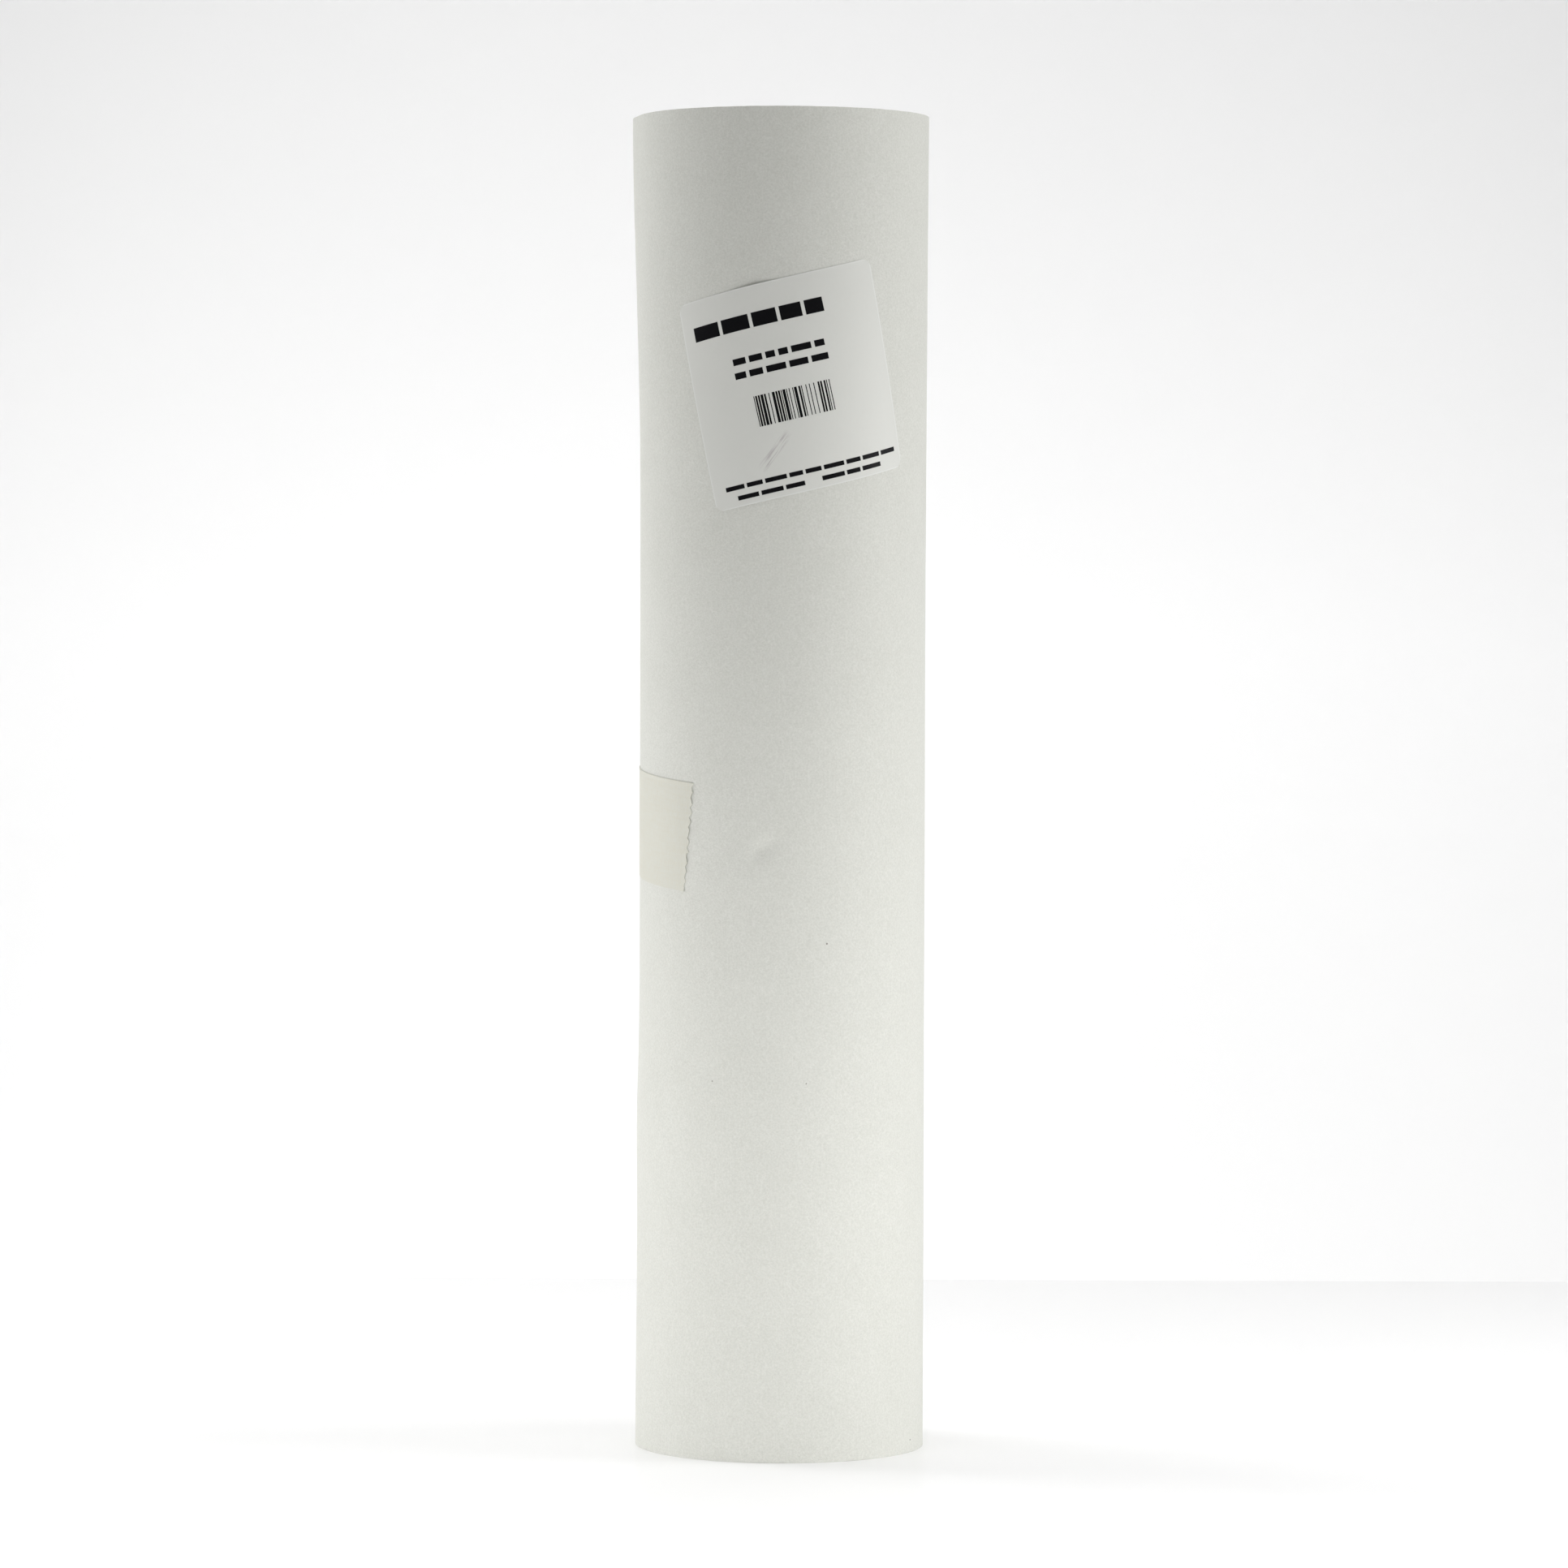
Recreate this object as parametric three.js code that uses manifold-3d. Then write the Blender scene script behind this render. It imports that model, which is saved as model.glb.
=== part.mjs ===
// A roll of fine fiberglass mat that stands on its end: the wound web, the cardboard tube inside it,
// a square paper label on its front and the strip of masking tape that holds the web's free end.
// Millimetres, +Z up. The origin is on the roll's axis, on the end that it stands on.
// Angles run round the roll from its front, -Y, and grow towards the right, +X.
import * as THREE from "three";
import { mergeVertices } from "three/addons/utils/BufferGeometryUtils.js";
import Module from "manifold-3d";

// The roll
const ROLL_WIDTH = 600; // width of the web, so the height of the standing roll
const ROLL_RADIUS = 65.1; // at the foot
const TOP_FLARE = 0.5; // how much wider the top end is
const WAIST_DRAW = 0.3; // how much thinner the roll is half way up
const EDGE_CHAMFER = 0.8; // the web's worn edge at both ends

// The turns that show on each end, as flat lands with grooves between them
const GROOVE_COUNT = 5;
const GROOVE_WIDTH = 1.2;
const GROOVE_DEPTH = 1;

// The cardboard tube
const CORE_BORE_RADIUS = 25;
const CORE_WALL = 3;
const CORE_RECESS = 1; // how far each end of the tube lies inside the web's edge

// The free end of the web, which lifts off the roll near its two corners
const SEAM_ANGLE = -112;
const LAP_WIDTH = 37; // how far before the seam the web leaves the roll, along the surface
const LAP_THICKNESS = 0.6;
const LAP_SINK = 0.25; // how much of that is fused into the roll where the web lies flat
const LAP_RISE = 0.15; // the share of the lap's width over which it comes out of the roll
const TOP_LIFT = 5.4; // how far the upper corner stands off
const TOP_LIFT_REACH = 135; // how far down from the top end the lift dies away
const FOOT_LIFT = 1.4;
const FOOT_LIFT_REACH = 90;

// The label
const LABEL_WIDTH = 95;
const LABEL_HEIGHT = 94;
const LABEL_CORNER = 4;
const LABEL_THICKNESS = 0.3;
const LABEL_ANGLE = 4.4; // round the roll, of the label's centre
const LABEL_BELOW_TOP = 122.5; // of its centre
const LABEL_TILT = 13.2; // its right side is the higher one

// The tape
const TAPE_WIDTH = 48.5;
const TAPE_THICKNESS = 0.35;
const TAPE_END_ANGLE = -39.6; // round the roll, of the torn end on the front
const TAPE_BELOW_MIDDLE = 23; // of the torn end, from half way up the roll
const TAPE_SLOPE = 5.8; // it falls towards the right
const TAPE_PAST_SEAM = 43; // how much of it lies beyond the web's free end
const TOOTH_PITCH = 4.4;
const TOOTH_DEPTH = 0.9;

const CLEARANCE = 0.3; // between pieces that lie on each other

// How finely round forms are divided
const ROUND_STEPS = 72;
const HEIGHT_STEPS = 8;
const LAP_STEPS = 10;
const LAP_ROWS = 16;
const LABEL_STEPS = 26;
const LABEL_CORNER_STEPS = 4;
const LABEL_ROWS = 8;
const TAPE_STEP = 5; // mm
const MERGE_WITHIN = 1e-4; // mm, of vertices that are the same point

const CORE_RADIUS = CORE_BORE_RADIUS + CORE_WALL;
const WEB_BORE_RADIUS = CORE_RADIUS + CLEARANCE;
const LAP_PROUD = LAP_THICKNESS - LAP_SINK; // how far the outer turn stands above the roll

const radians = THREE.MathUtils.degToRad;
const smooth = (t) => THREE.MathUtils.smoothstep(t, 0, 1);

// The roll's outer radius at a height: a shallow parabola through the foot, the waist and the top.
function rollRadius(height) {
  const t = (2 * height) / ROLL_WIDTH - 1;
  const end = t > 0 ? WAIST_DRAW + TOP_FLARE : WAIST_DRAW;
  return ROLL_RADIUS - WAIST_DRAW + end * t * t;
}

// A closed outline of radius and height, turned about the Z axis.
function turned(outline) {
  const points = [...outline, outline[0]].map(([r, z]) => new THREE.Vector2(r, z));
  return new THREE.LatheGeometry(points, ROUND_STEPS).rotateX(Math.PI / 2);
}

// Radius and depth of the points across one end of the web, from its rim to its bore.
function endRelief(rimRadius) {
  const land = (rimRadius - WEB_BORE_RADIUS - GROOVE_COUNT * GROOVE_WIDTH) / (GROOVE_COUNT + 1);
  const points = [[rimRadius, 0]];
  for (let i = 0; i < GROOVE_COUNT; i++) {
    const outer = rimRadius - (i + 1) * land - i * GROOVE_WIDTH;
    points.push([outer, 0], [outer - GROOVE_WIDTH / 2, GROOVE_DEPTH], [outer - GROOVE_WIDTH, 0]);
  }
  return [...points, [WEB_BORE_RADIUS, 0]];
}

// The wound web without its free end: up the outside, in across the top, down the bore.
function woundWeb() {
  const side = [];
  for (let i = 0; i <= HEIGHT_STEPS; i++) {
    const z = EDGE_CHAMFER + (i / HEIGHT_STEPS) * (ROLL_WIDTH - 2 * EDGE_CHAMFER);
    side.push([rollRadius(z), z]);
  }
  const top = endRelief(rollRadius(ROLL_WIDTH) - EDGE_CHAMFER).map(([r, d]) => [r, ROLL_WIDTH - d]);
  const foot = endRelief(rollRadius(0) - EDGE_CHAMFER).reverse();
  return turned([...side, ...top, ...foot]);
}

// A box's vertices, x along the surface, y up it and z out of it, laid round the roll by a function
// that gives each its angle, height and radius.
function laid(box, place) {
  const position = box.attributes.position;
  const at = new THREE.Vector3();
  for (let i = 0; i < position.count; i++) {
    const { angle, height, radius } = place(at.fromBufferAttribute(position, i));
    position.setXYZ(i, radius * Math.sin(angle), -radius * Math.cos(angle), height);
  }
  box.computeVertexNormals();
  return box;
}

// How far the web's free edge stands off the roll at a height.
function lift(height) {
  const top = smooth((height - ROLL_WIDTH + TOP_LIFT_REACH) / TOP_LIFT_REACH);
  const foot = smooth((FOOT_LIFT_REACH - height) / FOOT_LIFT_REACH);
  return TOP_LIFT * top + FOOT_LIFT * foot;
}

// The free end of the web: it comes out of the roll and bends away towards the seam.
function freeEnd() {
  const box = new THREE.BoxGeometry(1, ROLL_WIDTH, LAP_THICKNESS, LAP_STEPS, LAP_ROWS, 1);
  return laid(box, ({ x, y, z }) => {
    const along = 0.5 - x;
    const height = y + ROLL_WIDTH / 2;
    const start = radians(SEAM_ANGLE) + LAP_WIDTH / ROLL_RADIUS;
    const proud = LAP_PROUD * (2 * Math.min(1, along / LAP_RISE) - 1);
    const outer = rollRadius(height) + proud + lift(height) * smooth(along);
    return {
      angle: start - (along * LAP_WIDTH) / ROLL_RADIUS,
      height,
      radius: outer - LAP_THICKNESS / 2 + z,
    };
  });
}

// Where a point of a flat strip lies on the roll, for a strip turned by a tilt about its own centre.
function onRoll(x, y, centreAngle, centreHeight, tilt, offset) {
  const angle = centreAngle + (x * Math.cos(tilt) - y * Math.sin(tilt)) / ROLL_RADIUS;
  const height = centreHeight + x * Math.sin(tilt) + y * Math.cos(tilt);
  return { angle, height, radius: rollRadius(height) + offset };
}

// Across the label: each column's place, and half its height, which shortens round the corners.
function labelColumns() {
  const corner = [];
  for (let i = 0; i <= LABEL_CORNER_STEPS; i++) {
    const turn = (i / LABEL_CORNER_STEPS) * (Math.PI / 2);
    corner.push([
      LABEL_WIDTH / 2 - LABEL_CORNER + LABEL_CORNER * Math.sin(turn),
      LABEL_HEIGHT / 2 - LABEL_CORNER + LABEL_CORNER * Math.cos(turn),
    ]);
  }
  const straight = [];
  for (let i = 1; i < LABEL_STEPS; i++) {
    const x = (i / LABEL_STEPS - 0.5) * (LABEL_WIDTH - 2 * LABEL_CORNER);
    straight.push([x, LABEL_HEIGHT / 2]);
  }
  return [...corner.map(([x, h]) => [-x, h]).reverse(), ...straight, ...corner];
}

// The paper label, bent round the roll at its tilt.
function paperLabel() {
  const columns = labelColumns();
  const steps = columns.length - 1;
  const centre = ROLL_WIDTH - LABEL_BELOW_TOP;
  const box = new THREE.BoxGeometry(1, 1, LABEL_THICKNESS, steps, LABEL_ROWS, 1);
  return laid(box, ({ x, y, z }) => {
    const [across, halfHeight] = columns[Math.round((x + 0.5) * steps)];
    const offset = CLEARANCE + LABEL_THICKNESS / 2 + z;
    const up = 2 * y * halfHeight;
    return onRoll(across, up, radians(LABEL_ANGLE), centre, radians(LABEL_TILT), offset);
  });
}

// The strip of tape, from its torn end on the front, left over the seam and on round the back.
function tapeStrip() {
  const teeth = Math.round(TAPE_WIDTH / TOOTH_PITCH);
  const toSeam = ROLL_RADIUS * radians(TAPE_END_ANGLE - SEAM_ANGLE);
  const length = toSeam + TAPE_PAST_SEAM;
  const steps = Math.round(length / TAPE_STEP);
  const centre = ROLL_WIDTH / 2 - TAPE_BELOW_MIDDLE;
  const box = new THREE.BoxGeometry(length, TAPE_WIDTH, TAPE_THICKNESS, steps, 2 * teeth, 1);
  return laid(box, ({ x, y, z }) => {
    const row = Math.round((y / TAPE_WIDTH + 0.5) * 2 * teeth);
    const atEnd = Math.abs(x) > (length - TAPE_STEP / 2) / 2;
    const tooth = atEnd && row % 2 ? TOOTH_DEPTH : 0;
    const offset = LAP_PROUD + CLEARANCE + TAPE_THICKNESS / 2 + z;
    const along = x - length / 2 - tooth;
    return onRoll(along, y, radians(TAPE_END_ANGLE), centre, radians(-TAPE_SLOPE), offset);
  });
}

const wasm = await Module();
wasm.setup();

// A closed geometry as a solid that can be joined.
function solid(geometry) {
  const bare = geometry.clone().deleteAttribute("normal").deleteAttribute("uv");
  const merged = mergeVertices(bare, MERGE_WITHIN);
  return new wasm.Manifold(
    new wasm.Mesh({
      numProp: 3,
      vertProperties: merged.attributes.position.array,
      triVerts: new Uint32Array(merged.index.array),
    }),
  );
}

// Two closed geometries that overlap, as one.
function joined(a, b) {
  const mesh = solid(a).add(solid(b)).getMesh();
  const geometry = new THREE.BufferGeometry();
  geometry.setAttribute("position", new THREE.BufferAttribute(mesh.vertProperties, 3));
  geometry.setIndex(new THREE.BufferAttribute(mesh.triVerts, 1));
  geometry.computeVertexNormals();
  return geometry;
}

function coreTube() {
  const low = CORE_RECESS;
  const high = ROLL_WIDTH - CORE_RECESS;
  return turned([
    [CORE_RADIUS, low],
    [CORE_RADIUS, high],
    [CORE_BORE_RADIUS, high],
    [CORE_BORE_RADIUS, low],
  ]);
}

const glassMat = new THREE.MeshStandardMaterial({ color: 0xe9eae4, roughness: 0.95, metalness: 0 });
const cardboard = new THREE.MeshStandardMaterial({ color: 0xb39a78, roughness: 0.9, metalness: 0 });
const satinPaper = new THREE.MeshStandardMaterial({ color: 0xecedeb, roughness: 0.45, metalness: 0 });
const crepePaper = new THREE.MeshStandardMaterial({ color: 0xe3e1d3, roughness: 0.7, metalness: 0 });

const roll = new THREE.Group();

function addPiece(name, geometry, material) {
  const piece = new THREE.Mesh(geometry, material);
  piece.name = name;
  roll.add(piece);
}

addPiece("mat_roll", joined(woundWeb(), freeEnd()), glassMat);
addPiece("core_tube", coreTube(), cardboard);
addPiece("label", paperLabel(), satinPaper);
addPiece("tape", tapeStrip(), crepePaper);

export default roll;
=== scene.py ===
"""A standing roll of fine fiberglass mat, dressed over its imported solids. The wound web shows its turns on
both ends, its outer turn is one thin sheet whose free end lifts on the left, and a cardboard tube lines
the bore. A paper label with plain bars of print and a strip of masking tape lie on the outer turn."""
import math

import bpy
import numpy as np
from bpy.props import FloatProperty, FloatVectorProperty, IntProperty, PointerProperty
from mathutils import Euler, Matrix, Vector


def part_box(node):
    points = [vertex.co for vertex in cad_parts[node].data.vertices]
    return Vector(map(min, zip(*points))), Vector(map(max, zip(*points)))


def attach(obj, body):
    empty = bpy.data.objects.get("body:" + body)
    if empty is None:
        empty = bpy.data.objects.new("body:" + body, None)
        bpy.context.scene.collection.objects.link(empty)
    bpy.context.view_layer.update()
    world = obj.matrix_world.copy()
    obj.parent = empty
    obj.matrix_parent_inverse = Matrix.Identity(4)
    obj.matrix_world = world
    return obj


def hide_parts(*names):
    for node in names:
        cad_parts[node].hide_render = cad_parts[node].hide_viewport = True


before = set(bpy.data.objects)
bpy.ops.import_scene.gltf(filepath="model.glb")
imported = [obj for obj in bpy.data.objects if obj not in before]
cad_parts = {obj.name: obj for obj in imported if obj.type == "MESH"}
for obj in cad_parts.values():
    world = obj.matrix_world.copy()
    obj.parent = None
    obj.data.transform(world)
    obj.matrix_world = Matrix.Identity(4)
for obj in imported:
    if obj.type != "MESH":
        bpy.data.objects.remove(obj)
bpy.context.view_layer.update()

bl_info = {
    "name": "Fiberglass Mat Roll",
    "version": (1, 0, 0),
    "blender": (4, 5, 0),
    "location": "View3D > Sidebar > Mat Roll",
    "description": "Dresses the solids of a standing roll of fiberglass mat and sets its stage",
    "category": "Object",
}

MM = 0.001
FULL_TURN = 2 * math.pi
WEB_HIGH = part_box("mat_roll")[1]
TUBE_LOW, TUBE_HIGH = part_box("core_tube")


def length(name, description, millimetres):
    """A property that holds a length, with its default given in millimetres."""
    return FloatProperty(
        name=name, description=description, default=millimetres * MM, unit="LENGTH", precision=5
    )


def turn(name, description, degrees):
    """A property that holds an angle, with its default given in degrees."""
    return FloatProperty(
        name=name, description=description, default=math.radians(degrees), subtype="ANGLE"
    )


def colour(name, description, red, green, blue):
    """A property that holds a linear colour."""
    return FloatVectorProperty(
        name=name, description=description, default=(red, green, blue), subtype="COLOR", min=0, max=1
    )


def amount(name, description, value):
    """A property that holds a plain number."""
    return FloatProperty(name=name, description=description, default=value)


class WebSizes(bpy.types.PropertyGroup):
    """The wound web. Angles run round the roll from its front, and grow towards the right."""

    width: length("Width", "Width of the web, so the height of the standing roll", WEB_HIGH.z / MM)
    foot_radius: length("Foot radius", "Outer radius at the end it stands on", 65.1)
    top_radius: length("Top radius", "Outer radius at the upper end", WEB_HIGH.x / MM)
    waist_draw: length("Waist draw", "How much thinner the roll is half way up", 0.3)
    tape_draw: length("Tape draw", "How far the taped side is pulled in", 0.65)
    thickness: length("Thickness", "Thickness of the outer turn", 0.28)
    bore_radius: length("Bore radius", "Inner radius of the wound web", TUBE_HIGH.x / MM + 0.2)
    turns: IntProperty(name="Turns", description="Turns that show on each end", default=165)
    turn_relief: length("Turn relief", "Depth of the gap between two turns on an end", 0.4)
    unevenness: length("Unevenness", "How far the turns' edges stray along the axis", 0.45)
    seed: IntProperty(name="Seed", description="Seed of the edges' unevenness", default=11)


class FreeEndSizes(bpy.types.PropertyGroup):
    """The web's free end, which the tape holds half way up and which lifts near its corners."""

    seam: turn("Seam", "Angle round the roll of the web's free edge", -112)
    lap_width: length("Lap width", "How far before its edge the web leaves the roll", 37)
    tucked: turn("Tucked turn", "How far the sheet goes on beneath its own free end", 80)
    top_lift: length("Top lift", "How far the upper corner stands off", 5.6)
    top_low: length("Top lift start", "Height at which the upper lift begins", 452)
    top_high: length("Top lift end", "Height at which the upper lift is full", 592)
    foot_lift: length("Foot lift", "How far the lower corner stands off", 1.5)
    foot_reach: length("Foot reach", "Height at which the lower lift dies away", 88)
    bulge: length("Bulge", "How far the slack below the tape stands off", 1.7)
    bulge_height: length("Bulge height", "Height of that slack", 150)
    bulge_reach: length("Bulge reach", "How far up and down the slack spreads", 29)


class LabelSizes(bpy.types.PropertyGroup):
    """The paper label and its print."""

    width: length("Width", "Width of the label", 94)
    height: length("Height", "Height of the label", 94)
    corner: length("Corner", "Radius of its corners", 4)
    thickness: length("Thickness", "Thickness of the paper", 0.14)
    angle: turn("Angle", "Angle round the roll of its centre", 4.4)
    centre: length("Centre", "Height of its centre", 477.4)
    tilt: turn("Tilt", "How much its right side is raised", 13.2)
    edge_lift: length("Edge lift", "How far its rim curls off the mat", 0.1)
    ink: length("Ink", "Thickness of the print", 0.03)
    seed: IntProperty(name="Seed", description="Seed of the print's bars", default=5)


class TapeSizes(bpy.types.PropertyGroup):
    """The strip of masking tape."""

    width: length("Width", "Width of the tape", 48.5)
    reach: length("Reach", "Length of the strip", 125)
    thickness: length("Thickness", "Thickness of the tape", 0.16)
    angle: turn("Angle", "Angle round the roll of its torn end on the front", -39.4)
    centre: length("Centre", "Height of the middle of that end", 276.9)
    slope: turn("Slope", "How much it falls towards the right", 5.8)
    tooth: length("Tooth", "Distance between the teeth of its torn ends", 4.4)
    tooth_depth: length("Tooth depth", "Depth of those teeth", 1.2)
    seed: IntProperty(name="Seed", description="Seed of the torn ends", default=3)


class Finishes(bpy.types.PropertyGroup):
    """Colours of the roll, as linear values."""

    mat: colour("Mat", "Glass mat in even light", 0.745, 0.748, 0.701)
    mat_deep: colour("Mat hollows", "Glass mat between its fibers", 0.465, 0.47, 0.415)
    paper: colour("Paper", "Label paper", 0.728, 0.732, 0.692)
    ink: colour("Ink", "Print on the label", 0.004, 0.004, 0.005)
    tape: colour("Tape", "Masking tape", 0.657, 0.662, 0.6)
    board: colour("Board", "Cardboard of the tube", 0.36, 0.25, 0.15)


class StageSettings(bpy.types.PropertyGroup):
    """Floor, lights and camera."""

    distance: FloatProperty(
        name="Distance", description="Camera to the roll's axis", default=2.766, unit="LENGTH"
    )
    camera_height: length("Camera height", "Height of the camera above the floor", 380)
    camera_side: length("Camera side", "How far right of the axis the camera stands", 0.97)
    pitch: turn("Pitch", "How far down the camera looks", 1.671)
    lean: turn("Lean", "How far the camera is rolled", 0.195)
    lens: amount("Lens", "Focal length in millimetres on a sensor 36 mm wide", 140.44)
    room: amount("Room light", "Strength of the even light from all round", 0.065)
    surround: amount("Surround", "Brightness that is seen where no board stands", 0.86)
    brightness: amount("Brightness", "Factor on the power of all the soft lights", 1.0)
    table_back: length("Table back", "How far behind the roll's axis the table ends", 676)
    table: colour("Table", "Table top", 0.955, 0.955, 0.955)
    backdrop: colour("Backdrop", "Backdrop", 0.87, 0.87, 0.87)


SETTINGS = {
    "roll_web": WebSizes,
    "roll_free_end": FreeEndSizes,
    "roll_label": LabelSizes,
    "roll_tape": TapeSizes,
    "roll_finishes": Finishes,
    "roll_stage": StageSettings,
}


# Surfaces


def smooth(t):
    """Smoothstep: nought up to 0, one from 1, and three t squared less two t cubed between."""
    t = np.clip(t, 0, 1)
    return t * t * (3 - 2 * t)


def step_between(value, low, high):
    """Smoothstep of a value from a low to a high one."""
    return smooth((value - low) / (high - low))


def hump(t):
    """A bell: e to the power of minus t squared."""
    return np.exp(-t * t)


def on_cylinder(angle, height, radius):
    """Points at an angle from the front, a height and a distance from the axis: x is radius times the
    angle's sine, y is minus radius times its cosine."""
    across = radius * np.sin(angle)
    deep = -radius * np.cos(angle)
    return np.stack(np.broadcast_arrays(across, deep, height), -1)


# Heights between which the tape's pull sets in and dies away, and how far round it reaches, in radians
PULL_SETS_IN, PULL_DIES_AWAY, PULL_REACH = (0.12, 0.215), (0.43, 0.52), 0.5
# Slow waves: depth in millimetres, whole periods round the roll, radians for each metre up it, and phase
SLOW_WAVES = (
    (0.07, 3, 11, 1.0),
    (0.025, 3, -40, math.pi / 2),
    (-0.025, 7, 6, math.pi / 2),
    (0.04, 2, 31, 2.0),
)
# Dents of handling: angle in degrees, height, depth, reach round and up in millimetres, tilt in degrees
DENTS = (
    (-7.3, 271.7, 1.9, 6.5, 3.4, 38),
    (1.2, 80.5, 0.25, 15, 6, 0),
    (-12, 520.5, 0.9, 7, 4.6, 13),
    (101, 390, 0.3, 12, 5, -20),
    (168, 205, 0.35, 9, 14, 10),
    (205, 470, 0.25, 18, 6, 25),
)
# Hollows in the body beneath the outer turn, each deeper and wider than the dent it keeps clear of
HOLLOWS = [
    (degrees, up, 1.3 * depth, 2 * reach_round, 2 * reach_up, tilt)
    for degrees, up, depth, reach_round, reach_up, tilt in DENTS
]
TURN_PITCH = 1.04  # from one turn to the next, in thicknesses of the web
BODY_DEPTH = 2.4  # from the roll's face to the body beneath the outer turn, in thicknesses of the web


def web_radius(angle, height, dents=DENTS):
    """Radius of the wound web's face. A parabola runs through the foot, the waist and the top. The taped
    left side is drawn in by a bell round the roll times a plateau up it, slow waves of whole periods
    round the roll run over all of it, and each dent is a bell along its two axes."""
    web = bpy.context.scene.roll_web
    wrapped = (angle + math.pi) % FULL_TURN - math.pi
    t = 2 * height / web.width - 1
    end = np.where(t > 0, web.top_radius - web.foot_radius, 0) + web.waist_draw
    radius = web.foot_radius - web.waist_draw + end * t * t
    held = step_between(height, *PULL_SETS_IN) * (1 - step_between(height, *PULL_DIES_AWAY))
    radius = radius - web.tape_draw * held * hump((wrapped + math.pi / 2) / PULL_REACH)
    for depth, periods, climb, phase in SLOW_WAVES:
        radius = radius + depth * MM * np.sin(periods * angle + climb * height + phase)
    for degrees, up, depth, reach_round, reach_up, tilt in dents:
        away = (angle - math.radians(degrees) + math.pi) % FULL_TURN - math.pi
        along = away * web.foot_radius
        rise = height - up * MM
        cos, sin = math.cos(math.radians(tilt)), math.sin(math.radians(tilt))
        u = (along * cos + rise * sin) / (reach_round * MM)
        v = (rise * cos - along * sin) / (reach_up * MM)
        radius = radius - depth * MM * hump(np.hypot(u, v))
    return radius


def free_lift(height):
    """How far the free edge stands off: a smooth step near the top, another near the foot, and a bell
    for the slack between the foot and the tape."""
    end = bpy.context.scene.roll_free_end
    top = end.top_lift * step_between(height, end.top_low, end.top_high)
    foot = end.foot_lift * smooth((end.foot_reach - height) / end.foot_reach)
    return top + foot + end.bulge * hump((height - end.bulge_height) / end.bulge_reach)


def outer_turn_radius(angle, height, dents=DENTS):
    """Radius of the outer turn's face: the web's, less its thickness for each full turn in from the free
    edge, plus the free end's lift times a smooth step from where the web leaves the roll to its edge."""
    web = bpy.context.scene.roll_web
    end = bpy.context.scene.roll_free_end
    lap = end.lap_width / web.foot_radius
    along = (end.seam + lap - angle) / lap
    spiral = TURN_PITCH * web.thickness * (angle - end.seam) / FULL_TURN
    return web_radius(angle, height, dents) - spiral + free_lift(height) * smooth(along)


def wavering(value, seed, waves, amplitude, finest):
    """A wandering line: the sum of sine waves of random phase and of frequencies up to the finest, whose
    heights fall as their frequencies rise."""
    random = np.random.default_rng(seed)
    frequency = np.linspace(finest / waves, finest, waves) * random.uniform(0.8, 1.2, waves)
    phase = random.uniform(0, FULL_TURN, waves)
    weight = 1 / np.sqrt(np.arange(1, waves + 1))
    total = sum(w * np.sin(f * value + p) for w, f, p in zip(weight, frequency, phase))
    return amplitude * total / weight.sum()


# Meshes


def quads(rows, columns):
    """The quads of a grid of points numbered row by row, whose faces point out where its columns run to
    the right and its rows run up."""
    index = np.arange(rows * columns).reshape(rows, columns)
    corners = index[:-1, :-1], index[:-1, 1:], index[1:, 1:], index[1:, :-1]
    return index, np.stack(corners, -1).reshape(-1, 4)


def bands(low, high):
    """Quads between two closed rings of points, or between each two of several, that face out where the
    rings run to the right and the second lies above the first."""
    return np.stack([low, np.roll(low, -1, -1), np.roll(high, -1, -1), high], -1)


def slab(outer, inner):
    """A thin closed sheet between two grids of points: the outer grid's quads, the inner grid's turned
    over, and a band of quads that joins their rims."""
    index, face = quads(*outer.shape[:2])
    rim = np.concatenate([index[0, :-1], index[:-1, -1], index[-1, :0:-1], index[:0:-1, 0]])
    after = np.roll(rim, -1)
    band = np.stack([after, rim, rim + index.size, after + index.size], -1)
    points = np.concatenate([outer.reshape(-1, 3), inner.reshape(-1, 3)])
    return points, np.concatenate([face, face[:, ::-1] + index.size, band])


def joined(parts):
    """Several meshes, each as its points and quads, as one list of points and one of quads."""
    start = np.cumsum([0] + [len(points) for points, _ in parts[:-1]])
    points = np.concatenate([points for points, _ in parts])
    return points, np.concatenate([faces + first for (_, faces), first in zip(parts, start)])


def smooth_object(name, points, faces, material):
    """An object at the origin from its points and faces, shaded smooth, with one material."""
    mesh = bpy.data.meshes.new(name)
    mesh.from_pydata(points.tolist(), [], faces.tolist())
    mesh.materials.append(material)
    mesh.polygons.foreach_set("use_smooth", np.ones(len(mesh.polygons), bool))
    piece = bpy.data.objects.new(name, mesh)
    bpy.context.scene.collection.objects.link(piece)
    return piece


def mesh_piece(name, points, faces, material, node, plane=None, sharp=50):
    """A piece of the roll from its points and faces: shaded smooth but for edges over the sharp angle,
    riding on the root body, finished from a slot and, where a node is named, shown in its place. plane
    gives each point its place on the flat sheet, in metres, as a UV map."""
    piece = smooth_object(name, points, faces, material)
    mesh = piece.data
    if plane is not None:
        layer = mesh.uv_layers.new(name="Sheet")
        corner = np.empty(len(mesh.loops), np.int32)
        mesh.loops.foreach_get("vertex_index", corner)
        layer.uv.foreach_set("vector", plane[corner].astype(np.float32).ravel())
    mesh.set_sharp_from_angle(angle=math.radians(sharp))
    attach(piece, "root")
    if node:
        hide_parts(node)


# Shader nodes


def feed(tree, node, inputs):
    """Each input in a table set to a value, or linked from a socket."""
    for name, value in inputs.items():
        if isinstance(value, bpy.types.NodeSocket):
            tree.links.new(value, node.inputs[name])
        else:
            node.inputs[name].default_value = value


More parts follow.
